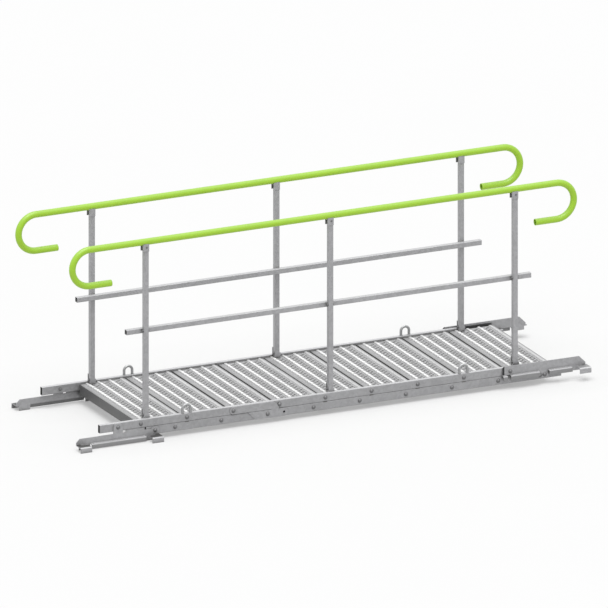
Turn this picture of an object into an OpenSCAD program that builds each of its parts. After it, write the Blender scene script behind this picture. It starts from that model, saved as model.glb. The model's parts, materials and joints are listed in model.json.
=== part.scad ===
// Temporary pedestrian bridge: two stacked box beams a side, nine pressed steel
// planks between them, and a bolted guardrail with hooped ends.
// X runs along the bridge, Y across it, Z up. The origin is on the ground
// under the middle of the bridge.

/* [Bridge] */
// Clear width between the two upper beams
clear_width = 780; // [600:10:1200]
// Height of the feet, and of the lower beams above the ground
foot_h = 33; // [24:1:60]

/* [Beams] */
// Height of a beam's section
beam_h = 50; // [40:1:70]
// Width of a beam's section
beam_w = 25; // [20:1:50]
// Wall of the beams' section
beam_wall = 2.5; // [2:0.5:4]

/* [Deck planks] */
// Width of one plank along the bridge, with its gap
plank_pitch = 300; // [280:1:360]
// Gap between two planks
plank_gap = 8; // [4:0.5:12]
// Middle of the deck along the bridge
deck_x = 90; // [60:1:120]
// How far a plank's sheet lies under the beams' top
deck_drop = 14; // [10:1:24]
// Height of a plank's folded side
plank_h = 60; // [45:1:65]
// Width of the lip under a plank's side
plank_lip = 18; // [10:1:40]
// Sheet thickness of a plank
plank_sheet = 2.5; // [1.5:0.5:4]
// Height of a ridge pressed into a plank
ridge_h = 5; // [3:0.5:7]
// Width of a ridge at its foot
ridge_base = 20; // [18:1:26]
// Width of a ridge at its crest
ridge_top = 13; // [8:1:16]
// Distance from a plank's left edge to its first ridge
ridge_first = 46; // [30:1:60]
// Distance from a plank's last ridge to its right edge
ridge_last = 24; // [20:1:40]
// Diameter of the grip holes
hole_d = 14; // [8:0.5:16]
// Distance between two grip holes in a row
hole_pitch = 34; // [24:1:60]
// Distance between the two rows of a pair
row_gap = 19; // [16:0.5:24]
// Height of the collar pressed up round a grip hole
collar_h = 2.5; // [1.5:0.5:4]
// Wall of a collar
collar_t = 1.8; // [1:0.1:3]

/* [Guardrail] */
// Side of a post's square tube
post_w = 30; // [25:1:40]
// Wall of the posts and middle rails
tube_wall = 2; // [1.5:0.5:3]
// Height of the handrail's axis above the beams' top
rail_z = 1084; // [900:2:1300]
// Diameter of the handrail tube
rail_d = 40; // [33:0.5:50]
// Wall of the handrail tube
rail_wall = 2.5; // [2:0.5:4]
// How far a hoop's axis lies past the outer posts, on average
rail_overhang = 430; // [360:5:520]
// How far the handrail is set to the right of the middle post
rail_shift = -46; // [-60:1:60]
// Height of a hoop from tube axis to tube axis
hoop_h = 224; // [180:1:300]
// Straight end of a hoop's lower leg
hoop_tail = 140; // [60:1:160]
// Height of the middle rail's axis above the beams' top
mid_z = 530; // [400:10:700]
// How far a middle rail runs past the outer posts
mid_overhang = 115; // [60:5:200]

/* [Post fittings] */
// Sheet thickness of the post sockets and rail saddles
fitting_t = 4; // [3:0.5:6]
// How far a saddle's flanges reach past the post
flange_reach = 9; // [4:1:14]
// How far a socket's flanges reach past the post
socket_reach = 3; // [1:1:10]
// Height of a socket's flange at its free edge
socket_high = 48; // [28:1:60]
// Height of a socket at its closed side
socket_low = 18; // [12:1:26]
// Height of a saddle's flanges along the post
saddle_h = 32; // [20:1:50]

/* [End channels] */
// How far a channel runs past the beam that it ends
channel_reach = 155; // [120:5:200]
// Length of a channel
channel_len = 540; // [500:5:620]
// Sheet thickness of a channel
channel_t = 5; // [4:0.5:7]
// Height of a left channel's web above its ledge
left_web = 37; // [30:1:46]
// Height of a right channel's web above its ledge
right_web = 56; // [46:1:64]
// How far a right channel's ledge lies above the upper beam's bottom
right_lift = 2; // [0:1:6]
// Depth of the ledge, measured from the beams' outer face
ledge_w = 25; // [20:1:40]
// Gap between a left channel's lip and the ground
lip_clear = 5; // [2:1:12]
// Height of the blunt tip under the bevel
tip_h = 15; // [6:1:20]
// Distance from a channel's tip to the middle of its tab
tab_reach = 272; // [240:1:300]
// Width of a channel's tab
tab_w = 62; // [46:1:80]

/* [Feet] */
// Width of a foot along the bridge
foot_w = 73; // [50:1:86]
// How far a foot reaches out from the beams' outer face
foot_reach = 70; // [50:1:100]
// Gap between a foot and the end of the ledge beside it
foot_gap = 19; // [4:1:30]
// Width of the tongue that joins a foot's plate to its leg
foot_tongue = 26; // [20:1:40]
// Distance from a foot's end to its leg
leg_inset = 18; // [8:1:19]
// Width of the slot between a foot's plate and its leg
foot_slot = 14; // [6:1:24]
// How far the right foot stands out past its channel's tip
right_foot_out = 9; // [0:1:15]

/* [Lifting eyes] */
// Height of an eye's loop above the beams' top
eye_h = 60; // [50:1:100]
// Outer width of an eye's loop
eye_w = 68; // [50:1:90]
// Diameter of an eye's bar
eye_d = 16; // [10:0.5:18]

/* [Joint plates] */
// Thickness of a joint plate
joint_t = 4; // [3:0.5:6]
// Diameter of the free bolt hole in a joint plate
joint_hole_d = 14; // [10:1:18]

/* [Hidden] */
$fn = 48;
cut = 1;

// Beams: each is as long as the deck, and they are offset by one plank
planks = 9;
beam_len = planks * plank_pitch;
beam_step = plank_pitch;
side_in = clear_width / 2;
side_out = side_in + beam_w;
lower_z = foot_h;
upper_z = lower_z + beam_h;
beam_top = upper_z + beam_h;
upper_x0 = -(beam_len + beam_step) / 2;
lower_x0 = upper_x0 + beam_step;
lower_x1 = lower_x0 + beam_len;
beam_r = 1.5 * beam_wall;

// Each plank is held by an upper bolt and a lower bolt on each side
upper_bolt_x = 27;
lower_bolt_x = plank_pitch - 50;
upper_bolt_z = beam_top - beam_h / 2;
lower_bolt_z = lower_z + beam_h / 2;
bolt_edge = 17;

// Deck
deck_x0 = deck_x - beam_len / 2;
deck_z = beam_top - deck_drop;
deck_y = 2 * side_in;
plank_w = plank_pitch - plank_gap;
end_h = deck_z - lower_bolt_z + bolt_edge;
ridge_count = 4;
ridge_pitch = (plank_w - ridge_first - ridge_last) / (ridge_count - 1);
end_margin = 18;
collar_r = hole_d / 2 + collar_t;

// Guardrail: the posts stand beside the first ridge of planks 1, 5 and 9
post_gap = 1;
post_inset = plank_gap / 2 + ridge_first + ridge_base / 2 + post_gap + post_w / 2;
post_pitch = 4 * plank_pitch;
post_xs = [for (i = [0:2]) deck_x0 + post_inset + i * post_pitch];
post_y = side_in - post_w / 2;
post_r = 1.5 * tube_wall;
rail_axis_z = beam_top + rail_z;
post_top = rail_axis_z - rail_d / 2 - fitting_t;
hoop_r = hoop_h / 2;
rail_half = post_pitch + rail_overhang;
mid_y = post_y - post_w;
mid_axis_z = beam_top + mid_z;
socket_gap = 1;

// End channels and feet, from the channel's tip
tip_x = lower_x1 + channel_reach;
left_ledge_z = lower_z;
right_ledge_z = upper_z + right_lift;
lip_h = foot_h - lip_clear;
fold_r = channel_t + 3;
foot_bay = foot_w + foot_gap;
leg_clear = 2;
ear_w = 54;
ear_x = channel_len - ear_w / 2;
end_chamfer = 12;
notch_w = 22;

// Joint plates: from the upper bolt of plank 3 to past its lower bolt
joint_x0 = deck_x0 + 2 * plank_pitch + upper_bolt_x;
joint_arch_x = joint_x0 + 248;
joint_hole_x = joint_x0 + 330;
joint_edge = 2;
joint_toe = 95;

// A rectangle with round corners, centred
module rounded(w, h, r) {
  square([w - 2 * r, h], center = true);
  square([w, h - 2 * r], center = true);
  for (sx = [-1, 1], sy = [-1, 1])
    translate([sx * (w / 2 - r), sy * (h / 2 - r)]) circle(r);
}

// A tab that stands on the X axis, round at its two upper corners
module tab_outline(w, h, r) {
  translate([-w / 2, 0]) square([w, h - r]);
  translate([r - w / 2, 0]) square([w - 2 * r, h]);
  for (side = [-1, 1]) translate([side * (w / 2 - r), h - r]) circle(r);
}

// The section of a box tube, centred
module tube_section(w, h, wall, r) {
  difference() {
    rounded(w, h, r);
    rounded(w - 2 * wall, h - 2 * wall, r / 3);
  }
}

// Draws a part made for the front side on either side
module on_side(side) {
  if (side == "front") children();
  else mirror([0, 1, 0]) children();
}

// Draws a section in Y and Z, run along X from x0 to x1
module along_x(x0, x1) {
  translate([x0, 0, 0]) rotate([90, 0, 90]) linear_extrude(x1 - x0) children();
}

// Draws an outline in X and Z as a sheet whose inner face is at Y = 0
module sheet(t) {
  rotate([90, 0, 0]) linear_extrude(t) children();
}

module beam(x0, z0) {
  color("silver") along_x(x0, x0 + beam_len)
    translate([-(side_in + side_out) / 2, z0 + beam_h / 2])
      tube_section(beam_w, beam_h, beam_wall, beam_r);
}

// The lower beam is drilled where the joint plate's free hole is
module lower_beam() {
  color("silver") difference() {
    beam(lower_x0, lower_z);
    translate([joint_hole_x, -side_out - cut, lower_bolt_z]) rotate([-90, 0, 0])
      cylinder(d = joint_hole_d, h = beam_wall + 2 * cut);
  }
}

// The corners of one pressed ridge, seen from the plank's end
function ridge_points(i) = let (x = ridge_first + i * ridge_pitch)
  [[x - ridge_base / 2, 0], [x - ridge_top / 2, ridge_h],
   [x + ridge_top / 2, ridge_h], [x + ridge_base / 2, 0]];

// Two staggered rows of grip holes between each pair of ridges
hole_rows = [for (i = [0:ridge_count - 2], side = [-1, 1])
  ridge_first + (i + 0.5) * ridge_pitch + side * row_gap / 2];
function row_shift(row) = row % 2 * hole_pitch / 2;
function hole_count(row) = floor((deck_y - 2 * end_margin - row_shift(row)) / hole_pitch) + 1;
grip_holes = [for (row = [0:len(hole_rows) - 1], k = [0:hole_count(row) - 1])
  [hole_rows[row], end_margin + row_shift(row) + k * hole_pitch]];

// A plank that carries posts has no grip holes under them
function carries_post(index) = index % 4 == 0;
function under_post(p) = abs(p[0] + plank_gap / 2 - post_inset) < post_w / 2 + collar_r
  && abs(p[1] - deck_y / 2) > deck_y / 2 - post_w - collar_r;
function plank_holes(index) =
  [for (p = grip_holes) if (!(carries_post(index) && under_post(p))) p];

// The sheet's section with its ridges; the flat lies at height 0
module ridged_section() {
  ridges = [for (i = [0:ridge_count - 1]) each ridge_points(i)];
  top = concat([[0, 0]], ridges, [[plank_w, 0]]);
  under = [for (i = [len(top) - 1:-1:0]) top[i] - [0, plank_sheet]];
  polygon(concat(top, under));
}

// A folded side with its lip, at the plank's left edge
module side_section() {
  translate([0, -plank_h]) square([plank_sheet, plank_h]);
  translate([0, -plank_h]) square([plank_lip, plank_sheet]);
}

// One plank: a ridged sheet with collared grip holes, folded down on all sides
module plank(index) {
  holes = plank_holes(index);
  x0 = deck_x0 + index * plank_pitch + plank_gap / 2;
  color("gainsboro") translate([x0, -side_in, deck_z]) difference() {
    union() {
      translate([0, deck_y, 0]) sheet(deck_y) {
        ridged_section();
        side_section();
        translate([plank_w, 0]) mirror([1, 0]) side_section();
      }
      for (y = [0, deck_y - plank_sheet])
        translate([0, y, -end_h]) cube([plank_w, plank_sheet, end_h]);
      for (p = holes) translate([p[0], p[1], -plank_sheet])
        cylinder(r = collar_r, h = plank_sheet + collar_h);
    }
    for (p = holes) translate([p[0], p[1], -plank_sheet - cut])
      cylinder(d = hole_d, h = plank_sheet + collar_h + 2 * cut);
  }
}

module post(i) {
  color("silver") translate([post_xs[i], -post_y, deck_z])
    linear_extrude(post_top - deck_z) tube_section(post_w, post_w, tube_wall, post_r);
}

// A handrail's solid core of a given radius; its tails run on by extra
module rail_core(r, extra) {
  bend_x = rail_half - hoop_r;
  translate([-bend_x, 0, 0]) rotate([0, 90, 0]) cylinder(r = r, h = 2 * bend_x);
  for (end = [0, 1]) mirror([end, 0, 0]) {
    translate([bend_x, 0, -hoop_r]) rotate([90, 0, 0]) rotate([0, 0, -90])
      rotate_extrude(angle = 180) translate([hoop_r, 0]) circle(r);
    translate([bend_x - hoop_tail - extra, 0, -hoop_h]) rotate([0, 90, 0])
      cylinder(r = r, h = hoop_tail + extra);
  }
}

module handrail() {
  color("yellowgreen") translate([post_xs[1] + rail_shift, -post_y, rail_axis_z])
    difference() {
      rail_core(rail_d / 2, 0);
      rail_core(rail_d / 2 - rail_wall, cut);
    }
}

module middle_rail() {
  color("silver") along_x(post_xs[0] - mid_overhang, post_xs[2] + mid_overhang)
    translate([-mid_y, mid_axis_z]) tube_section(post_w, post_w, tube_wall, post_r);
}

// A socket: a bracket folded round the post's foot and open to -X; its outer
// flange rests on the beam, clear of the plank's ridge
module socket() {
  left = -post_w / 2 - socket_reach;
  right = post_w / 2 + fitting_t;
  bottom = ridge_h + socket_gap - deck_drop;
  difference() {
    translate([0, right, 0]) sheet(2 * right)
      polygon([[left, bottom], [left, socket_high], [right, socket_low], [right, bottom]]);
    translate([left - cut, -post_w / 2, bottom - cut])
      cube([post_w / 2 - left + cut, post_w, socket_high - bottom + 2 * cut]);
    translate([left - cut, -right - cut, bottom - cut])
      cube([right - left + 2 * cut, fitting_t + cut, cut - bottom]);
  }
}

module post_sockets() {
  color("darkgray") for (x = post_xs) translate([x, -post_y, beam_top]) socket();
}

// A saddle: a strap over the post's top, with a seat cut for the handrail
module saddle() {
  left = -post_w / 2 - flange_reach;
  length = post_w + flange_reach;
  top = fitting_t + rail_d / 4;
  difference() {
    translate([left, -post_w / 2 - fitting_t, -saddle_h])
      cube([length, post_w + 2 * fitting_t, saddle_h + top]);
    translate([left - cut, -post_w / 2, -saddle_h - cut])
      cube([length + 2 * cut, post_w, saddle_h + cut]);
    translate([left - cut, -post_w / 2, fitting_t]) cube([length + 2 * cut, post_w, top]);
    translate([left - cut, 0, fitting_t + rail_d / 2]) rotate([0, 90, 0])
      cylinder(d = rail_d, h = length + 2 * cut);
  }
}

module rail_saddles() {
  color("darkgray") for (x = post_xs) translate([x, -post_y, post_top]) saddle();
}

// A quarter of a fold, centred on its bend
module fold() {
  intersection() {
    difference() {
      circle(fold_r);
      circle(fold_r - channel_t);
    }
    square(fold_r);
  }
}

// A flat with a lip bent down at its outer edge; it starts at inner from Y = 0
module lipped_flat(inner, width, lip) {
  translate([fold_r - width, -channel_t]) square([width - fold_r - inner, channel_t]);
  translate([fold_r - width, -fold_r]) mirror([1, 0]) fold();
  translate([-width, -lip]) square([channel_t, lip - fold_r]);
}

// The ledge and lip that are folded out from the foot of a channel's web
module ledge_section() {
  translate([-fold_r, fold_r - channel_t]) mirror([0, 1]) fold();
  lipped_flat(fold_r, ledge_w, lip_h);
}

// A channel that points to -X: a web with its outline, and a ledge along spans
module channel(web, spans) {
  sheet(channel_t) {
    polygon([[0, 0], [0, tip_h], [web - tip_h, web], [channel_len - end_chamfer, web],
             [channel_len, web - end_chamfer], [channel_len, 0]]);
    children();
  }
  for (span = spans) along_x(span[0], span[1]) ledge_section();
}

// The tab goes up to the upper beam, and the ear is bolted to the lower one
module left_channel() {
  tab_top = beam_top - joint_edge - left_ledge_z;
  color("darkgray") translate([-tip_x, -side_out, left_ledge_z])
    channel(left_web, [[foot_bay, channel_len - foot_bay]]) {
      translate([tab_reach, 0]) tab_outline(tab_w, tab_top, tab_w / 3);
      translate([ear_x, 0]) tab_outline(ear_w, beam_h - joint_edge, ear_w / 3);
    }
}

// The tab goes down to the lower beam, and the ledge has a gap for it
module right_channel() {
  tab_drop = right_ledge_z - lower_bolt_z + bolt_edge;
  tab_x0 = tab_reach - tab_w / 2;
  tab_x1 = tab_reach + tab_w / 2;
  color("darkgray") mirror([1, 0, 0]) translate([-tip_x, -side_out, right_ledge_z])
    channel(right_web, [[foot_bay, tab_x0], [tab_x1, ear_x - notch_w], [ear_x, channel_len]])
      translate([tab_reach, 0]) mirror([0, 1]) tab_outline(tab_w, tab_drop, tab_w / 4);
}

// A foot: a plate with its outer edge bent down, and a leg under the web; a slot
// parts them, apart from a tongue at the foot's end. It stands out past the channel by out
module foot(out, leg_h) {
  leg_w = foot_bay + out - leg_clear - leg_inset;
  color("gray") translate([-out, 0, 0]) {
    difference() {
      along_x(0, foot_w) lipped_flat(0, foot_reach, foot_h);
      translate([foot_tongue, -channel_t - foot_slot, -channel_t - cut])
        cube([foot_w - foot_tongue + cut, foot_slot + channel_t + cut, channel_t + 2 * cut]);
    }
    translate([leg_inset, -channel_t, -leg_h]) cube([leg_w, channel_t, leg_h]);
  }
}

module left_foot_pair() {
  translate([-tip_x, -side_out, left_ledge_z]) {
    foot(0, foot_h);
    translate([channel_len, 0, 0]) mirror([1, 0, 0]) foot(0, foot_h);
  }
}

module right_foot() {
  mirror([1, 0, 0]) translate([-tip_x, -side_out, right_ledge_z]) foot(right_foot_out, lip_h);
}

// A lifting eye: a bent bar that stands on the upper beam, flush with its outer face
module lifting_eye(index) {
  bend_r = (eye_w - eye_d) / 2;
  bend_z = eye_h - eye_w / 2;
  x = deck_x0 + (index - 1) * plank_pitch + upper_bolt_x;
  color("silver") translate([x, eye_d / 2 - side_out, beam_top]) {
    translate([0, 0, bend_z]) rotate([90, 0, 0])
      rotate_extrude(angle = 180) translate([bend_r, 0]) circle(d = eye_d);
    for (side = [-1, 1]) translate([side * bend_r, 0, 0]) cylinder(d = eye_d, h = bend_z);
  }
}

// The outline from the upper beam's bolt, over an arch, to the lower beam's hole
module joint_outline() {
  lobe = beam_h / 2 - joint_edge;
  arch = beam_h - joint_edge;
  arch_x = joint_arch_x - joint_x0;
  hole_x = joint_hole_x - joint_x0;
  difference() {
    union() {
      translate([0, upper_bolt_z - lobe]) square([arch_x, lobe + beam_top - joint_edge - upper_bolt_z]);
      translate([0, upper_bolt_z]) circle(lobe);
      intersection() {
        translate([arch_x, upper_z]) circle(arch);
        translate([arch_x, upper_z]) square(arch);
      }
      polygon([[joint_toe, upper_z], [joint_toe + arch, lower_z], [hole_x, lower_z], [hole_x, upper_z]]);
      translate([hole_x, lower_bolt_z]) circle(beam_h / 2);
    }
    translate([hole_x, lower_bolt_z]) circle(d = joint_hole_d);
  }
}

module joint_plate() {
  color("darkgray") translate([joint_x0, -side_out, 0]) sheet(joint_t) joint_outline();
}

on_side("front") beam(upper_x0, upper_z);  // front_upper_beam
on_side("back") beam(upper_x0, upper_z);  // back_upper_beam
on_side("front") lower_beam();  // front_lower_beam
on_side("back") lower_beam();  // back_lower_beam
plank(0);  // deck_plank_1
plank(1);  // deck_plank_2
plank(2);  // deck_plank_3
plank(3);  // deck_plank_4
plank(4);  // deck_plank_5
plank(5);  // deck_plank_6
plank(6);  // deck_plank_7
plank(7);  // deck_plank_8
plank(8);  // deck_plank_9
on_side("front") post(0);  // front_left_post
on_side("front") post(1);  // front_middle_post
on_side("front") post(2);  // front_right_post
on_side("back") post(0);  // back_left_post
on_side("back") post(1);  // back_middle_post
on_side("back") post(2);  // back_right_post
on_side("front") handrail();  // front_handrail
on_side("back") handrail();  // back_handrail
on_side("front") middle_rail();  // front_middle_rail
on_side("back") middle_rail();  // back_middle_rail
on_side("front") post_sockets();  // front_post_sockets
on_side("back") post_sockets();  // back_post_sockets
on_side("front") rail_saddles();  // front_rail_saddles
on_side("back") rail_saddles();  // back_rail_saddles
on_side("front") left_channel();  // front_left_channel
on_side("front") right_channel();  // front_right_channel
on_side("back") left_channel();  // back_left_channel
on_side("back") right_channel();  // back_right_channel
on_side("front") left_foot_pair();  // front_left_feet
on_side("front") right_foot();  // front_right_foot
on_side("back") left_foot_pair();  // back_left_feet
on_side("back") right_foot();  // back_right_foot
on_side("front") lifting_eye(2);  // front_left_eye
on_side("front") lifting_eye(8);  // front_right_eye
on_side("back") lifting_eye(2);  // back_left_eye
on_side("back") lifting_eye(8);  // back_right_eye
on_side("front") joint_plate();  // front_joint_plate
on_side("back") joint_plate();  // back_joint_plate
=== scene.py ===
import json
import math

import bpy
from mathutils import Matrix, Vector


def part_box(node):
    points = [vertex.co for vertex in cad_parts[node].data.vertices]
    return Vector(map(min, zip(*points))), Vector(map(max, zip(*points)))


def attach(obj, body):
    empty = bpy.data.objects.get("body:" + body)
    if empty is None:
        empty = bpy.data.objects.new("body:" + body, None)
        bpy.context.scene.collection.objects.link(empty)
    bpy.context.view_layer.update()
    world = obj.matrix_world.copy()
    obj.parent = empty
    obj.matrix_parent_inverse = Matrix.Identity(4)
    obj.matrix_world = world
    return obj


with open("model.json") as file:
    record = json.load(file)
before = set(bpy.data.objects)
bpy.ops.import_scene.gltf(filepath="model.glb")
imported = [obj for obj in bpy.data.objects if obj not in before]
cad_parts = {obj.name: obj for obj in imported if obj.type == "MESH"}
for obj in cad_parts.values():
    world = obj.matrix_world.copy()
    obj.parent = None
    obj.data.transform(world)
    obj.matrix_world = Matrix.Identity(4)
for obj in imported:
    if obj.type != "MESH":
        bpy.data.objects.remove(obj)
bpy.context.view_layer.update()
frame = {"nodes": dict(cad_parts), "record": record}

MM = 0.001
SCENE = bpy.context.scene

# Which way each side lies from the middle, along Y
SIDES = {"front": -1, "back": 1}

# Sizes and places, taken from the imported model
UPPER_LO, UPPER_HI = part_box("front_upper_beam")
LOWER_LO, LOWER_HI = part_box("front_lower_beam")
PLANKS = [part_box(f"deck_plank_{number}") for number in range(1, 10)]
POSTS = [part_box(f"front_{name}_post") for name in ("left", "middle", "right")]
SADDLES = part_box("front_rail_saddles")
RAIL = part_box("front_middle_rail")
LEFT_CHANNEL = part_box("front_left_channel")
RIGHT_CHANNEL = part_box("front_right_channel")
JOINT_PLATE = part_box("front_joint_plate")
LEFT_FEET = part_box("front_left_feet")

SIDE_OUT = -UPPER_LO.y
SIDE_IN = -UPPER_HI.y
BEAM_TOP = UPPER_HI.z
UPPER_BOLT_Z = (UPPER_LO.z + UPPER_HI.z) / 2
LOWER_BOLT_Z = (LOWER_LO.z + LOWER_HI.z) / 2
RAIL_Z = (RAIL[0].z + RAIL[1].z) / 2
POST_W = POSTS[0][1].x - POSTS[0][0].x
JOINT_PLATE_T = JOINT_PLATE[1].y - JOINT_PLATE[0].y
DECK_GAP = PLANKS[1][0].x - PLANKS[0][1].x
PLANK_PITCH = PLANKS[1][0].x - PLANKS[0][0].x
DECK_START = PLANKS[0][0].x - DECK_GAP / 2
RIDGE_TOP = PLANKS[0][1].z

# Sizes of the same model that its boxes don't show
CHANNEL_T = 5 * MM
PLANK_SHEET = 2.5 * MM
RIDGES = 4
RIDGE_H = 5 * MM
RIDGE_FIRST = 46 * MM
RIDGE_LAST = 24 * MM
HOLE_PITCH = 34 * MM
DECK_Z = RIDGE_TOP - RIDGE_H

# Bolts of the planks: from the middle of the gap at a plank's left, and of the one at its right
UPPER_BOLT_INSET = 27 * MM
LOWER_BOLT_INSET = 50 * MM
# Bolts of the channels: from a channel's tip, and from the left channel's inner end
LEFT_TAB_BOLT = 272 * MM
LEFT_END_BOLT = 27 * MM
RIGHT_TAB_BOLT = 293 * MM
# How far from its own start the right channel covers the lower beam's bolts
RIGHT_TAB_START = 100 * MM
# Bolts through a post: over the beam, over the middle rail's axis, and under the post's head
SOCKET_BOLT_RISE = 14 * MM
RAIL_BOLT_RISE = 4 * MM
SADDLE_PIN_DROP = 7 * MM

# The strip in the slit between a left channel and the upper beam: its size, how far its
# middle lies from the channel's tip, and how far under the beam's lower face
STRIP_LENGTH = 123 * MM
STRIP_HEIGHT = 15 * MM
STRIP_MIDDLE = 384 * MM
STRIP_DROP = 6.5 * MM

# Teeth and pimples: how far their rows end from the posts, and the pimples' place on a plank
ROW_MARGIN = 10 * MM
PIMPLE_INSET = 27 * MM

# Stitch welds between the two beams of a side
WELD_BEADS = 8
WELD_PITCH = 3 * MM

# Light: the sky as a light and as it is seen, and one large soft lamp
SKY_LIGHT = 0.65
SKY_SEEN = 0.985
KEY_STRENGTH = 2.7
KEY_SPREAD = 50.0
KEY_DIRECTION = Vector((-0.12, -0.18, 0.97))
KEY_DISTANCE = 6.0

# The floor: its grey as a reflector, its greys and glow where it is seen, and its half width
FLOOR_BOUNCE = 0.42
FLOOR_SEEN = (0.425, 0.431)
FLOOR_GLOW = 0.35
FLOOR_REACH = 60.0

# The camera looks at the bridge from its left front, a little from above
VIEW_AZIMUTH = -25.0
VIEW_ELEVATION = 17.88
VIEW_HEIGHT = 3.583
VIEW_TARGET = Vector((0.0213, 0.0003, 0.5575))
VIEW_DISTANCE = 9.0

# Tints that a grey is multiplied by: none, zinc, painted corner shade, deeper painted shade, and the
# deck's sheet
NEUTRAL = (1.0, 1.0, 1.0)
ZINC_TINT = (0.995, 0.995, 1.02)
SHADE_TINT = (1.0, 0.985, 0.96)
DEEP_SHADE_TINT = (1.0, 0.98, 0.95)
DECK_TINT = (1.0, 1.0, 1.02)

# The palest grey of a zinc face, and the grey of a place that hardly any light reaches
PALEST_ZINC = 0.9
SHADOWED = 0.012


# ---------------------------------------------------------------- node helpers

def new_material(name):
    """A node material, its tree and its Principled shader."""
    material = bpy.data.materials.new(name)
    material.use_nodes = True
    tree = material.node_tree
    return material, tree, tree.nodes["Principled BSDF"]


def add_node(tree, kind, inputs=None, **settings):
    """Adds a node, sets its properties, and sets or links its inputs."""
    node = tree.nodes.new(kind)
    for key, value in settings.items():
        setattr(node, key, value)
    for key, value in (inputs or {}).items():
        if isinstance(value, bpy.types.NodeSocket):
            tree.links.new(value, node.inputs[key])
        else:
            node.inputs[key].default_value = value
    return node


def mapped(tree, value, from_min, from_max, to_min, to_max):
    """A value moved from one range to another, and clamped."""
    inputs = {0: value, 1: from_min, 2: from_max, 3: to_min, 4: to_max}
    return add_node(tree, "ShaderNodeMapRange", inputs).outputs[0]


def ramp(tree, value, zero_at, full_at, full=1.0):
    """A mask that grows from 0 to its full strength as a value goes from one place to another."""
    return mapped(tree, value, zero_at, full_at, 0.0, full)


def math_node(tree, operation, a, b=0.0):
    return add_node(tree, "ShaderNodeMath", {0: a, 1: b}, operation=operation).outputs[0]


def add(tree, a, b):
    return math_node(tree, "ADD", a, b)


def subtract(tree, a, b):
    return math_node(tree, "SUBTRACT", a, b)


def multiply(tree, a, b):
    return math_node(tree, "MULTIPLY", a, b)


def absolute(tree, value):
    return math_node(tree, "ABSOLUTE", value)


def distance(tree, a, b):
    """How far apart two values are."""
    return absolute(tree, subtract(tree, a, b))


def blended(tree, a, b, share):
    """Two values mixed, with this share of the first."""
    return add(tree, multiply(tree, a, share), multiply(tree, b, 1.0 - share))


def mix_colour(tree, factor, a, b):
    inputs = {0: factor, 6: a, 7: b}
    return add_node(tree, "ShaderNodeMix", inputs, data_type="RGBA", blend_type="MIX").outputs[2]


def grey(value, tint=NEUTRAL):
    return (value * tint[0], value * tint[1], value * tint[2], 1.0)


def object_coordinates(tree):
    return add_node(tree, "ShaderNodeTexCoord").outputs["Object"]


def axes_of(tree, vector):
    """The X, Y and Z of a vector."""
    outputs = add_node(tree, "ShaderNodeSeparateXYZ", {0: vector}).outputs
    return outputs["X"], outputs["Y"], outputs["Z"]


def surface_normal(tree):
    return add_node(tree, "ShaderNodeNewGeometry").outputs["Normal"]


def noise(tree, place, scale, detail):
    inputs = {"Vector": place, "Scale": scale, "Detail": detail, "Roughness": 0.55}
    return add_node(tree, "ShaderNodeTexNoise", inputs).outputs["Fac"]


def crystals(tree, place, scale):
    """The spangle of hot-dip zinc: one random value for each small crystal."""
    inputs = {"Vector": place, "Scale": scale, "Randomness": 1.0}
    cells = add_node(tree, "ShaderNodeTexVoronoi", inputs).outputs["Color"]
    return add_node(tree, "ShaderNodeSeparateColor", {0: cells}).outputs[0]


def bump(tree, height, depth, strength, normal=None):
    inputs = {"Height": height, "Distance": depth, "Strength": strength}
    if normal is not None:
        inputs["Normal"] = normal
    return add_node(tree, "ShaderNodeBump", inputs).outputs["Normal"]


def edge_mask(tree, radius):
    """The rounded normal, and a mask that is 1 on sharp edges and 0 on flats."""
    rounded = add_node(tree, "ShaderNodeBevel", {"Radius": radius}, samples=4).outputs["Normal"]
    inputs = {0: rounded, 1: surface_normal(tree)}
    likeness = add_node(tree, "ShaderNodeVectorMath", inputs, operation="DOT_PRODUCT")
    return rounded, ramp(tree, likeness.outputs["Value"], 0.995, 0.88)


def corner_shade_mask(tree, reach):
    """1 in corners and crevices, 0 in the open: the mask of painted corner shade."""
    openness = add_node(tree, "ShaderNodeAmbientOcclusion", {"Distance": reach}, samples=6)
    return ramp(tree, openness.outputs["AO"], 0.85, 0.35)


def upward(tree):
    """1 on faces that look straight up and 0 on upright ones; zinc tops are painted paler with it,
    as painted light.
    """
    up = axes_of(tree, surface_normal(tree))[2]
    return ramp(tree, up, 0.35, 0.95)


def seen_or_mirrored(tree):
    """1 for what the camera sees, straight, in a mirror or through glass, and 0 for light."""
    rays = add_node(tree, "ShaderNodeLightPath").outputs
    indirect = math_node(tree, "MAXIMUM", rays["Is Glossy Ray"], rays["Is Transmission Ray"])
    return math_node(tree, "MAXIMUM", rays["Is Camera Ray"], indirect)


# ------------------------------------------------------------------- materials

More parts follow.
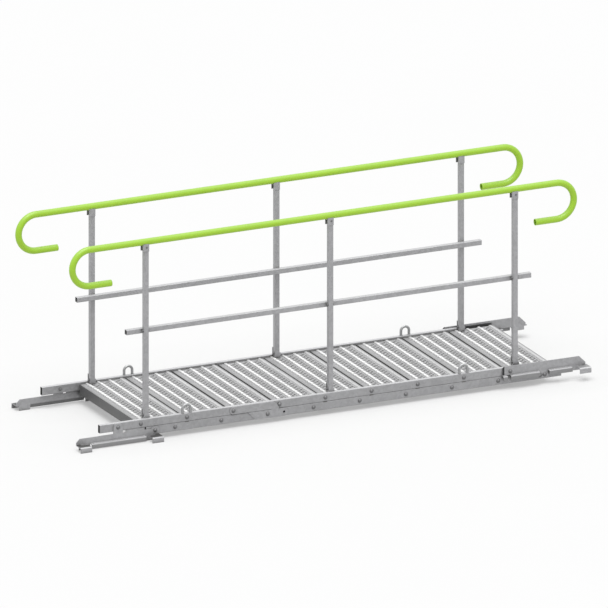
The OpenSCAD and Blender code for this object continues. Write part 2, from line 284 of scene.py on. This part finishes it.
def zinc_material(name, value, tint=NEUTRAL, metallic=0.45, rough=(0.42, 0.56), shade_strength=0.55,
                  spangle=0.10, top_light=1.5, marks=None):
    """Hot-dip galvanised steel: soft spangle, cloudy patina, painted highlights on edges and tops,
    and painted shade in corners.

    The marks are those of one kind of piece, as a function of the tree, the place and the colour.
    """
    material, tree, shader = new_material(name)
    place = object_coordinates(tree)
    spangles = crystals(tree, place, 70.0)
    cloud = noise(tree, place, 6.0, 4.0)
    fine = noise(tree, place, 240.0, 2.0)
    rounded, edges = edge_mask(tree, 1.2 * MM)
    corner_shade = corner_shade_mask(tree, 32 * MM)

    pattern = ramp(tree, blended(tree, spangles, cloud, 0.45), 0.25, 0.75)
    dark_spangle = grey(value * (1.0 - spangle), tint)
    light_spangle = grey(value * (1.0 + spangle), tint)
    colour = mix_colour(tree, pattern, dark_spangle, light_spangle)
    # Painted light: faces that look up are painted paler.
    colour = mix_colour(tree, upward(tree), colour, grey(min(value * top_light, PALEST_ZINC), tint))
    # Painted highlight: sharp edges are painted paler.
    edge_highlight = grey(min(value * 1.35, PALEST_ZINC), tint)
    colour = mix_colour(tree, multiply(tree, edges, 0.25), colour, edge_highlight)
    # Painted shade: corners and crevices, found by ambient occlusion, are painted darker.
    painted_shade = grey(value * (1.0 - shade_strength), SHADE_TINT)
    colour = mix_colour(tree, multiply(tree, corner_shade, 0.9), colour, painted_shade)
    if marks is not None:
        colour = marks(tree, place, colour)
    tree.links.new(colour, shader.inputs["Base Color"])

    smear = blended(tree, cloud, spangles, 0.6)
    tree.links.new(mapped(tree, smear, 0.25, 0.75, *rough), shader.inputs["Roughness"])
    height = add(tree, fine, multiply(tree, cloud, 1.5))
    tree.links.new(bump(tree, height, 0.25 * MM, 0.18, rounded), shader.inputs["Normal"])
    shader.inputs["Metallic"].default_value = metallic
    return material


def channel_marks(tree, place, colour):
    """Painted shade: darker lips, a near-black stripe where the right channels start, and a dark
    band beside the deck's end.
    """
    x, y, z = axes_of(tree, place)
    from_middle = absolute(tree, y)
    joint_x = RIGHT_CHANNEL[0].x + 7 * MM
    deck_end_x = RIGHT_CHANNEL[0].x + 220 * MM

    # Painted shade: the lips, upright faces out past the web, are painted darker.
    lip = ramp(tree, from_middle, SIDE_OUT + 9 * MM, SIDE_OUT + 15 * MM, 0.62)
    upright = subtract(tree, 1.0, upward(tree))
    colour = mix_colour(tree, multiply(tree, lip, upright), colour, grey(0.22))

    # Painted shadow: a near-black stripe across the web where the right channels start.
    joint = ramp(tree, distance(tree, x, joint_x), 8 * MM, 5 * MM, 0.95)
    on_web = ramp(tree, z, UPPER_LO.z + 4 * MM, UPPER_LO.z + 6 * MM)
    colour = mix_colour(tree, multiply(tree, joint, on_web), colour, grey(SHADOWED))

    # Painted shade: a dark band on the web's inner face beside the deck's end, below the beam's top.
    inside = ramp(tree, from_middle, SIDE_OUT + 1.2 * MM, SIDE_OUT + 0.3 * MM, 0.85)
    beside_end = ramp(tree, distance(tree, x, deck_end_x), 106 * MM, 95 * MM)
    below_top = ramp(tree, z, BEAM_TOP - 3 * MM, BEAM_TOP - 5 * MM)
    painted_shade = multiply(tree, multiply(tree, inside, beside_end), below_top)
    return mix_colour(tree, painted_shade, colour, grey(0.03))


def beam_marks(tree, place, colour):
    """Painted shade: the inside of the box beams, seen at their open ends, painted near black."""
    y, z = axes_of(tree, place)[1:]
    from_middle = absolute(tree, y)
    inside_inner = subtract(tree, from_middle, SIDE_IN)
    inside_outer = subtract(tree, SIDE_OUT, from_middle)
    depth = math_node(tree, "MINIMUM", inside_inner, inside_outer)
    for face_z in (LOWER_LO.z, UPPER_LO.z, UPPER_HI.z):
        depth = math_node(tree, "MINIMUM", depth, distance(tree, z, face_z))
    # Painted shade: faces inside the box beams are painted near black.
    inside = ramp(tree, depth, 0.5 * MM, 1.5 * MM, 0.93)
    return mix_colour(tree, inside, colour, grey(SHADOWED))


def foot_marks(tree, place, colour):
    """Painted shade on the feet's tops behind their bent edge, stronger at the left, on the ground.
    """
    x, y = axes_of(tree, place)[:2]
    edge = -LEFT_FEET[0].y
    behind = ramp(tree, absolute(tree, y), edge - 9 * MM, edge - 15 * MM)
    amount = mapped(tree, x, -0.5, 0.5, 0.92, 0.5)
    # Painted shade: the tops behind the bent edge are painted dark.
    foot_shade = multiply(tree, multiply(tree, behind, upward(tree)), amount)
    return mix_colour(tree, foot_shade, colour, grey(0.05, DEEP_SHADE_TINT))


def plank_lines(tree, colour, inset):
    """Painted shade on a plank's left shoulder and along two pressed lines; inset is from its left
    gap.
    """
    shoulder = ramp(tree, inset, 30 * MM, 5 * MM, 0.4)
    colour = mix_colour(tree, shoulder, colour, grey(0.18))
    for line_inset in (19 * MM, 33 * MM):
        line = ramp(tree, distance(tree, inset, line_inset), 2.2 * MM, 0.6 * MM, 0.45)
        colour = mix_colour(tree, line, colour, grey(0.2))
    return colour


def gap_shade(tree, colour, travel, inset):
    """Painted shade along the gaps between the planks, stronger at some gaps than at others."""
    gap_number = math_node(tree, "ROUND", math_node(tree, "DIVIDE", travel, PLANK_PITCH))
    chance = add_node(tree, "ShaderNodeTexWhiteNoise", {"W": gap_number}, noise_dimensions="1D")
    from_gap = math_node(tree, "MINIMUM", inset, subtract(tree, PLANK_PITCH, inset))
    rim = ramp(tree, from_gap, 10 * MM, 6 * MM)
    amount = mapped(tree, chance.outputs["Value"], 0.0, 1.0, 0.3, 1.0)
    return mix_colour(tree, multiply(tree, rim, amount), colour, grey(0.06))


def ridge_highlights(tree, colour, height, cloud, inset):
    """Painted highlight on the ridges' crests, weaker on the last ridge of each plank."""
    crest_mask = ramp(tree, height, DECK_Z + 1.0 * MM, DECK_Z + 2.6 * MM)
    crest_lit = multiply(tree, crest_mask, mapped(tree, cloud, 0.3, 0.6, 0.86, 1.0))
    last_start = PLANK_PITCH - 44 * MM
    amount = mapped(tree, inset, last_start - 2 * MM, last_start + 2 * MM, 0.56, 0.36)
    return mix_colour(tree, multiply(tree, crest_lit, amount), colour, grey(0.86))


def deck_material():
    """Galvanised sheet: painted highlights on the ridges and edges, and painted shade in the grip
    holes and along the gaps.
    """
    material, tree, shader = new_material("deck_zinc")
    place = object_coordinates(tree)
    spangles = crystals(tree, place, 90.0)
    cloud = noise(tree, place, 7.0, 4.0)
    fine = noise(tree, place, 300.0, 2.0)
    rounded, edges = edge_mask(tree, 0.8 * MM)
    corner_shade = corner_shade_mask(tree, 11 * MM)
    x, _, z = axes_of(tree, place)
    travel = subtract(tree, x, DECK_START)
    inset = math_node(tree, "FLOORED_MODULO", travel, PLANK_PITCH)

    pattern = blended(tree, spangles, cloud, 0.4)
    light = ramp(tree, pattern, 0.25, 0.75)
    colour = mix_colour(tree, light, grey(0.375, DECK_TINT), grey(0.425, DECK_TINT))
    colour = plank_lines(tree, colour, inset)
    colour = gap_shade(tree, colour, travel, inset)
    # Painted highlight: sharp edges are painted paler.
    colour = mix_colour(tree, multiply(tree, edges, 0.3), colour, grey(0.6))
    colour = ridge_highlights(tree, colour, z, cloud, inset)
    # Painted shade in corners, crevices and grip holes.
    colour = mix_colour(tree, multiply(tree, corner_shade, 0.85), colour, grey(0.10, DEEP_SHADE_TINT))
    tree.links.new(colour, shader.inputs["Base Color"])

    tree.links.new(mapped(tree, pattern, 0.25, 0.75, 0.42, 0.56), shader.inputs["Roughness"])
    height = add(tree, fine, multiply(tree, cloud, 1.5))
    tree.links.new(bump(tree, height, 0.2 * MM, 0.15, rounded), shader.inputs["Normal"])
    shader.inputs["Metallic"].default_value = 0.3
    return material


def paint_material():
    """Lime green powder coat: faint orange peel, a painted pale reflection on top, and a painted
    lighter underside in place of light from below.
    """
    material, tree, shader = new_material("lime_powder_coat")
    place = object_coordinates(tree)
    cloud = noise(tree, place, 5.0, 4.0)
    peel = noise(tree, place, 420.0, 1.5)
    reflection_breakup = noise(tree, place, 900.0, 1.0)
    up = axes_of(tree, surface_normal(tree))[2]

    dull_lime = (0.30, 0.55, 0.020, 1.0)
    lime = (0.335, 0.60, 0.024, 1.0)
    underside_light_lime = (0.44, 0.73, 0.040, 1.0)
    reflection_lime = (0.36, 0.49, 0.19, 1.0)
    colour = mix_colour(tree, ramp(tree, cloud, 0.3, 0.7), dull_lime, lime)
    # Painted light: the underside is painted a lighter lime, in place of light from below.
    lit_underside = ramp(tree, up, 0.6, -0.4)
    colour = mix_colour(tree, lit_underside, colour, underside_light_lime)
    # Painted reflection: tops are painted a pale greyish lime, as a mirror of the sky.
    on_top = ramp(tree, up, 0.15, 0.95, 0.45)
    sky_reflection = multiply(tree, on_top, mapped(tree, reflection_breakup, 0.35, 0.65, 0.5, 1.0))
    colour = mix_colour(tree, sky_reflection, colour, reflection_lime)
    tree.links.new(colour, shader.inputs["Base Color"])

    tree.links.new(mapped(tree, cloud, 0.3, 0.7, 0.38, 0.5), shader.inputs["Roughness"])
    tree.links.new(bump(tree, peel, 0.15 * MM, 0.22), shader.inputs["Normal"])
    shader.inputs["Specular IOR Level"].default_value = 0.4
    shader.inputs["Coat Weight"].default_value = 0.35
    shader.inputs["Coat Roughness"].default_value = 0.25
    return material


def floor_material():
    """A plain pale floor that looks white with a soft shadow, yet throws little light back up."""
    material, tree, shader = new_material("pale_floor")
    seen = seen_or_mirrored(tree)
    cloud = noise(tree, object_coordinates(tree), 0.8, 2.0)
    shown = mix_colour(tree, cloud, grey(FLOOR_SEEN[0]), grey(FLOOR_SEEN[1]))
    colour = mix_colour(tree, seen, grey(FLOOR_BOUNCE), shown)
    tree.links.new(colour, shader.inputs["Base Color"])
    shader.inputs["Roughness"].default_value = 0.9
    shader.inputs["Specular IOR Level"].default_value = 0.0
    shader.inputs["Emission Color"].default_value = grey(1.0)
    tree.links.new(multiply(tree, seen, FLOOR_GLOW), shader.inputs["Emission Strength"])
    return material


BEAM_STEEL = zinc_material("galvanised_steel", 0.38, ZINC_TINT, shade_strength=0.65, marks=beam_marks)
TUBE_STEEL = zinc_material("galvanised_tube", 0.41, ZINC_TINT, shade_strength=0.35, top_light=1.3)
FITTING = zinc_material("galvanised_fitting", 0.40, ZINC_TINT, shade_strength=0.65, top_light=1.28)
CHANNEL_STEEL = zinc_material("galvanised_channel", 0.40, ZINC_TINT, shade_strength=0.62, top_light=1.28,
                              marks=channel_marks)
FOOT_STEEL = zinc_material("galvanised_foot", 0.42, ZINC_TINT, shade_strength=0.65, top_light=1.35,
                           marks=foot_marks)
EYE_STEEL = zinc_material("zinc_plated_bar", 0.36, (0.99, 1.0, 1.01), metallic=0.5,
                          rough=(0.4, 0.5), spangle=0.05)
BOLT_STEEL = zinc_material("zinc_plated_bolt", 0.20, (1.0, 1.0, 1.02), rough=(0.5, 0.65),
                           spangle=0.06)
WELD_STEEL = zinc_material("weld_bead", 0.14, (1.0, 0.98, 0.95), metallic=0.5,
                           rough=(0.5, 0.65), spangle=0.3)
# A pale grey that paints a highlight on the ridges' teeth.
CREST = zinc_material("crest_highlight_zinc", 0.80, metallic=0.25, rough=(0.3, 0.45), shade_strength=0.2,
                      spangle=0.05)
DECK = deck_material()
SLOT_MATERIALS = {
    "galvanised_steel": BEAM_STEEL,
    "deck_steel": DECK,
    "fitting_steel": FITTING,
    "eye_steel": EYE_STEEL,
    "handrail_paint": paint_material(),
}
NAME_MATERIALS = {
    "_post": TUBE_STEEL,
    "_middle_rail": TUBE_STEEL,
    "_channel": CHANNEL_STEEL,
    "_left_feet": FOOT_STEEL,
    "_right_foot": FOOT_STEEL,
}


def finish_cad_nodes():
    """Gives each CAD node the material of its kind, or else of its slot in the record."""
    slots = {part["node"]: part["material_slot"] for part in frame["record"]["subparts"]}
    for name, node in frame["nodes"].items():
        own_kind = [material for ending, material in NAME_MATERIALS.items() if name.endswith(ending)]
        node.data.materials.clear()
        node.data.materials.append(own_kind[0] if own_kind else SLOT_MATERIALS[slots[name]])


# ---------------------------------------------------------------- mesh helpers

# The corners of a square about its middle, in order
SQUARE = ((-1, -1), (1, -1), (1, 1), (-1, 1))


class Pieces:
    """Collects many small solids and makes one mesh object of them."""

    def __init__(self):
        self.vertices, self.faces, self.smooth = [], [], []

    def add(self, solid, place):
        vertices, faces, smooth = solid
        first = len(self.vertices)
        self.vertices += [place @ Vector(v) for v in vertices]
        self.faces += [[first + i for i in face] for face in faces]
        self.smooth += [smooth] * len(faces)

    def make(self, name, material, slot):
        mesh = bpy.data.meshes.new(name)
        mesh.from_pydata(self.vertices, [], self.faces)
        mesh.polygons.foreach_set("use_smooth", self.smooth)
        mesh.materials.append(material)
        mesh.update()
        piece = bpy.data.objects.new(name, mesh)
        SCENE.collection.objects.link(piece)
        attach(piece, "root")


def turned(profile, segments, smooth=True):
    """A solid turned about Z from (radius, height) points; it starts and ends on the axis."""
    vertices, faces, rings = [], [], []
    for radius, height in profile:
        if radius == 0:
            rings.append([len(vertices)] * segments)
            vertices.append((0, 0, height))
            continue
        rings.append(list(range(len(vertices), len(vertices) + segments)))
        for k in range(segments):
            angle = 2 * math.pi * k / segments
            vertices.append((radius * math.cos(angle), radius * math.sin(angle), height))
    for low, high in zip(rings, rings[1:]):
        for k in range(segments):
            n = (k + 1) % segments
            corners = [low[k], low[n], high[n], high[k]]
            faces.append([c for i, c in enumerate(corners) if c not in corners[:i]])
    return vertices, faces, smooth


def dome(radius, height, start, steps=5):
    """The (radius, height) points of a low dome that stands on a start height."""
    points = []
    for i in range(steps + 1):
        angle = math.pi / 2 * i / steps
        r = radius * math.cos(angle) if i < steps else 0
        points.append((r, start + height * math.sin(angle)))
    return points


def washer_bolt(radius, washer):
    """A cup-head bolt on a washer; its base is at height 0."""
    lip, thick, neck = 0.4 * MM, 2 * MM, 1.2 * MM
    profile = [(0, 0), (washer, 0), (washer, thick - lip), (washer - lip, thick), (radius, thick)]
    profile += dome(radius, 0.55 * radius, thick + neck)
    return turned(profile, 24)


def chamfered(radius, height, chamfer, segments):
    """A flat-sided prism with one chamfered end; its base is at height 0."""
    edge_z = height - chamfer
    profile = [(0, 0), (radius, 0), (radius, edge_z), (radius - chamfer, height), (0, height)]
    return turned(profile, segments, smooth=False)


def hex_bolt(flats, height):
    """A hexagon head or nut, by its width across flats."""
    corner_radius = flats / math.sqrt(3)
    return chamfered(corner_radius, height, 0.12 * corner_radius, 6)


def thread_end(radius, length):
    """The end of a bolt that stands out of its nut."""
    return chamfered(radius, length, 0.15 * radius, 16)


def frustum(base, top, height):
    """A low block with sloped sides, by the (x, y) sizes of its base and top, centred on Z."""
    low = [(sx * base[0] / 2, sy * base[1] / 2, 0) for sx, sy in SQUARE]
    high = [(sx * top[0] / 2, sy * top[1] / 2, height) for sx, sy in SQUARE]
    sides = [[k, (k + 1) % 4, 4 + (k + 1) % 4, 4 + k] for k in range(4)]
    return low + high, [[3, 2, 1, 0], [4, 5, 6, 7]] + sides, False


def outward(x, y, z, side):
    """A place on a side's outer face, y from the middle: local Z points away from the bridge."""
    return Matrix.Translation((x, side * y, z)) @ Matrix.Rotation(-side * math.pi / 2, 4, "X")


def inward(x, y, z, side):
    """A place on a side's inner face, y from the middle: local Z points to the other side."""
    return Matrix.Translation((x, side * y, z)) @ Matrix.Rotation(side * math.pi / 2, 4, "X")


def along(x, y, z, direction):
    """A place where local Z points along the walkway: 1 to the right, -1 to the left."""
    return Matrix.Translation((x, y, z)) @ Matrix.Rotation(direction * math.pi / 2, 4, "Y")


# ---------------------------------------------------------------------- pieces

def outer_sheet(x, right_start):
    """How far the sheet that lies on a beam at x stands out from it."""
    if JOINT_PLATE[0].x < x < JOINT_PLATE[1].x:
        return JOINT_PLATE_T
    if x > right_start:
        return CHANNEL_T
    return 0.0


def inner_face(x):
    """How far from the middle a nut sits at x: on a plank's end plate, or on the bare beam."""
    on_plank = PLANKS[0][0].x < x < PLANKS[-1][1].x
    return SIDE_IN - PLANK_SHEET if on_plank else SIDE_IN


def beam_bolt_places():
    """The x, z and outer sheet of each bolt through a side's beams."""
    places = [
        (LEFT_CHANNEL[0].x + LEFT_TAB_BOLT, UPPER_BOLT_Z, CHANNEL_T),
        (LEFT_CHANNEL[1].x - LEFT_END_BOLT, LOWER_BOLT_Z, CHANNEL_T),
        (RIGHT_CHANNEL[1].x - RIGHT_TAB_BOLT, LOWER_BOLT_Z, CHANNEL_T),
    ]
    for plank, _ in PLANKS:
        left_gap = plank.x - DECK_GAP / 2
        upper = left_gap + UPPER_BOLT_INSET
        lower = left_gap + PLANK_PITCH - LOWER_BOLT_INSET
        lower_start = RIGHT_CHANNEL[0].x + RIGHT_TAB_START
        places.append((upper, UPPER_BOLT_Z, outer_sheet(upper, RIGHT_CHANNEL[0].x)))
        places.append((lower, LOWER_BOLT_Z, outer_sheet(lower, lower_start)))
    return places


def beam_bolts(side_name):
    """Cup-head bolts through the beams into the planks' end plates, with nuts inside."""
    side = SIDES[side_name]
    heads, nuts = Pieces(), Pieces()
    head = washer_bolt(9.5 * MM, 12.5 * MM)
    nut = hex_bolt(17 * MM, 9 * MM)
    end = thread_end(5 * MM, 14 * MM)
    for x, z, sheet in beam_bolt_places():
        heads.add(head, outward(x, SIDE_OUT + sheet, z, side))
        nuts.add(nut, inward(x, inner_face(x), z, side))
        nuts.add(end, inward(x, inner_face(x), z, side))
    heads.make(f"{side_name}_bolt_heads", BOLT_STEEL, "fitting_steel")
    nuts.make(f"{side_name}_nuts", BOLT_STEEL, "fitting_steel")


def post_bolts(side_name):
    """Bolts along the bridge through the posts' sockets and middle rail, and pins at the saddles."""
    side = SIDES[side_name]
    bolts = Pieces()
    head = washer_bolt(7 * MM, 9.5 * MM)
    nut = hex_bolt(13 * MM, 6 * MM)
    pin = hex_bolt(10 * MM, 3.5 * MM)
    rail_bolt_z = RAIL_Z + RAIL_BOLT_RISE
    for low, high in POSTS:
        middle_x = (low.x + high.x) / 2
        y = -side * (low.y + high.y) / 2
        for z in (BEAM_TOP + SOCKET_BOLT_RISE, rail_bolt_z):
            bolts.add(head, along(low.x, y, z, -1))
        bolts.add(nut, along(high.x, y, rail_bolt_z, 1))
        bolts.add(pin, outward(middle_x, -SADDLES[0].y, high.z - SADDLE_PIN_DROP, side))
    bolts.make(f"{side_name}_post_bolts", BOLT_STEEL, "fitting_steel")


def weld_beads(side_name):
    """Short stitch welds in the groove between the two stacked beams."""
    side = SIDES[side_name]
    beads = Pieces()
    latitudes = (-1.0, -0.4, 0.4, 1.0)
    ball = turned([(0, -1)] + [(math.cos(a), math.sin(a)) for a in latitudes] + [(0, 1)], 10)
    bead = Matrix.Diagonal((3.0 * MM, 2.6 * MM, 3.6 * MM, 1.0))
    y = side * (SIDE_OUT - 0.8 * MM)
    for plank, _ in PLANKS[1:-1]:
        weld_x = plank.x - DECK_GAP / 2 + UPPER_BOLT_INSET
        for k in range(WELD_BEADS):
            x = weld_x + (k - (WELD_BEADS - 1) / 2) * WELD_PITCH
            beads.add(ball, Matrix.Translation((x, y, UPPER_LO.z)) @ bead)
    beads.make(f"{side_name}_weld_beads", WELD_STEEL, "galvanised_steel")


def closing_strip(side_name):
    """A strip that closes most of the slit between a left channel's web and the upper beam."""
    strip = Pieces()
    bevel, clearance = 1 * MM, 0.4 * MM
    base = (STRIP_LENGTH, STRIP_HEIGHT)
    top = (STRIP_LENGTH - 2 * bevel, STRIP_HEIGHT - bevel)
    x = LEFT_CHANNEL[0].x + STRIP_MIDDLE
    z = UPPER_LO.z - STRIP_DROP
    strip.add(frustum(base, top, CHANNEL_T - clearance), outward(x, SIDE_OUT, z, SIDES[side_name]))
    strip.make(f"{side_name}_closing_strip", FITTING, "fitting_steel")


def row_places():
    """Places across the deck, a grip hole's pitch apart and clear of the posts."""
    reach = SIDE_IN - POST_W - ROW_MARGIN
    count = int(2 * reach / HOLE_PITCH)
    return [(k - count / 2) * HOLE_PITCH for k in range(count + 1)]


def ridge_teeth():
    """Long grip teeth pressed up along each ridge's crest, pale with painted highlight; the last
    ridge has small ones in the deck's grey.
    """
    teeth, small_teeth = Pieces(), Pieces()
    wide = frustum((17 * MM, 19 * MM), (12 * MM, 12 * MM), 2.2 * MM)
    narrow = frustum((9 * MM, 14 * MM), (6 * MM, 9 * MM), 1.6 * MM)
    base_z = RIDGE_TOP - 0.2 * MM
    for low, high in PLANKS:
        ridge_pitch = (high.x - low.x - RIDGE_FIRST - RIDGE_LAST) / (RIDGES - 1)
        for ridge in range(RIDGES):
            x = low.x + RIDGE_FIRST + ridge * ridge_pitch
            row, tooth = (small_teeth, narrow) if ridge == RIDGES - 1 else (teeth, wide)
            for y in row_places():
                row.add(tooth, Matrix.Translation((x, y, base_z)))
    teeth.make("ridge_teeth", CREST, "deck_steel")
    small_teeth.make("small_ridge_teeth", DECK, "deck_steel")


def grip_pimples():
    """A row of low pimples on the smooth strip at each plank's left."""
    pimples = Pieces()
    pimple = turned([(0, -0.5 * MM)] + dome(3.6 * MM, 1.5 * MM, 0.0, 4), 12)
    for plank, _ in PLANKS:
        for y in row_places():
            pimples.add(pimple, Matrix.Translation((plank.x + PIMPLE_INSET, y, DECK_Z)))
    pimples.make("grip_pimples", DECK, "deck_steel")


# ------------------------------------------------------- stage, light and view

def make_floor():
    mesh = bpy.data.meshes.new("floor")
    corners = [(sx * FLOOR_REACH, sy * FLOOR_REACH, 0) for sx, sy in SQUARE]
    mesh.from_pydata(corners, [], [(0, 1, 2, 3)])
    mesh.materials.append(floor_material())
    floor = bpy.data.objects.new("floor", mesh)
    SCENE.collection.objects.link(floor)


def make_world():
    """An even white sky: bright where it is seen or mirrored, softer as a light."""
    world = bpy.data.worlds.new("studio")
    world.use_nodes = True
    tree = world.node_tree
    background = tree.nodes["Background"]
    strength = mapped(tree, seen_or_mirrored(tree), 0.0, 1.0, SKY_LIGHT, SKY_SEEN)
    tree.links.new(strength, background.inputs["Strength"])
    background.inputs["Color"].default_value = grey(1.0)
    SCENE.world = world


def make_key_light():
    """One very large soft light, almost overhead and a little to the front left."""
    light = bpy.data.lights.new("key", "SUN")
    light.energy = KEY_STRENGTH
    light.angle = math.radians(KEY_SPREAD)
    key = bpy.data.objects.new("key", light)
    key.rotation_mode = "QUATERNION"
    key.rotation_quaternion = KEY_DIRECTION.to_track_quat("Z", "Y")
    key.location = KEY_DIRECTION * KEY_DISTANCE
    SCENE.collection.objects.link(key)


def make_camera():
    """A parallel view, without perspective."""
    data = bpy.data.cameras.new("camera")
    data.type = "ORTHO"
    data.ortho_scale = VIEW_HEIGHT
    camera = bpy.data.objects.new("camera", data)
    azimuth, elevation = math.radians(VIEW_AZIMUTH), math.radians(VIEW_ELEVATION)
    level = math.cos(elevation)
    back = Vector((math.sin(azimuth) * level, -math.cos(azimuth) * level, math.sin(elevation)))
    camera.location = VIEW_TARGET + back * VIEW_DISTANCE
    camera.rotation_mode = "QUATERNION"
    camera.rotation_quaternion = back.to_track_quat("Z", "Y")
    SCENE.collection.objects.link(camera)
    SCENE.camera = camera


finish_cad_nodes()
for side_name in SIDES:
    beam_bolts(side_name)
    post_bolts(side_name)
    weld_beads(side_name)
    closing_strip(side_name)
ridge_teeth()
grip_pimples()
make_floor()
make_world()
make_key_light()
make_camera()
SCENE.view_settings.view_transform = "Standard"
